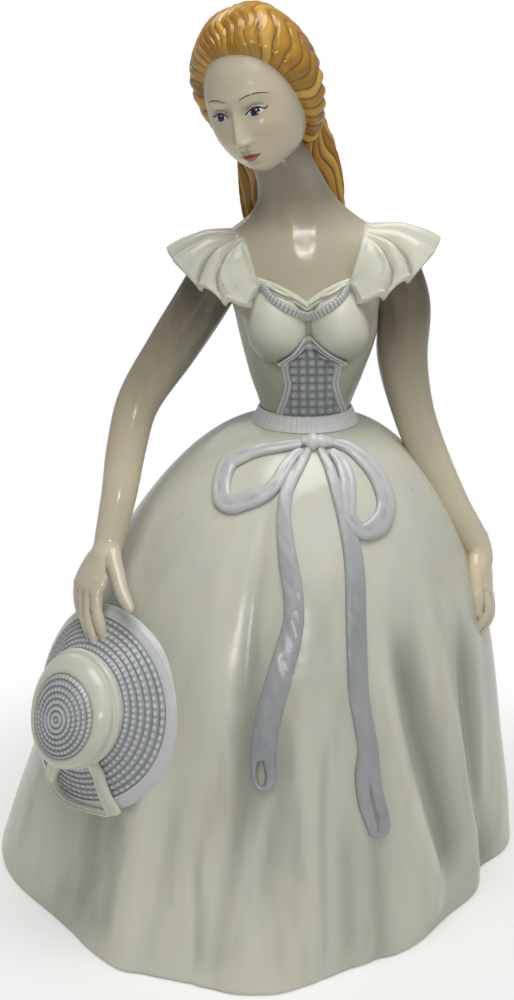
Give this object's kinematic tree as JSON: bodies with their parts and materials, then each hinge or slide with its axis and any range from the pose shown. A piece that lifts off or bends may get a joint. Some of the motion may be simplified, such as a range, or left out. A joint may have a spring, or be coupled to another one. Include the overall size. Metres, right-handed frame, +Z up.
{
  "type": "porcelain lady figurine",
  "caption": "Glazed porcelain lady in a wide fluted skirt with a bow and sash, frilled shoulders and a straw hat held at her side, on an open hollow foot.",
  "frame": {"origin": "centre of the skirt's foot, on the surface she stands on", "axes": "+Z up, +X to her left, so she faces -Y"},
  "size_m": [0.1798, 0.1682, 0.2805],
  "materials": {
    "cream_glaze": "glossy cream glaze",
    "skin_glaze": "glossy warm beige glaze",
    "sash_glaze": "glossy silver-blue glaze",
    "straw_glaze": "glossy blue-grey glaze over woven relief",
    "hair_glaze": "glossy golden ochre glaze"
  },
  "bodies": {
    "root": {"skirt": "cream_glaze", "bodice": "cream_glaze", "waistband": "sash_glaze", "head": "skin_glaze", "hair_cap": "hair_glaze", "neck_and_shoulders": "skin_glaze", "back_hair": "hair_glaze", "right_shoulder_ruffle": "cream_glaze", "left_shoulder_ruffle": "cream_glaze", "hat_brim": "straw_glaze", "hat_crown": "straw_glaze", "hat_band": "cream_glaze", "hat_ribbon_front": "cream_glaze", "hat_ribbon_back": "cream_glaze", "right_arm": "skin_glaze", "left_arm": "skin_glaze", "neckline_piping": "cream_glaze", "beaded_trim": "sash_glaze", "quilted_panel": "straw_glaze", "bow_knot": "sash_glaze", "bow_loop_right": "sash_glaze", "bow_loop_left": "sash_glaze", "sash_tail_right": "sash_glaze", "sash_tail_left": "sash_glaze"}
  },
  "joints": []
}
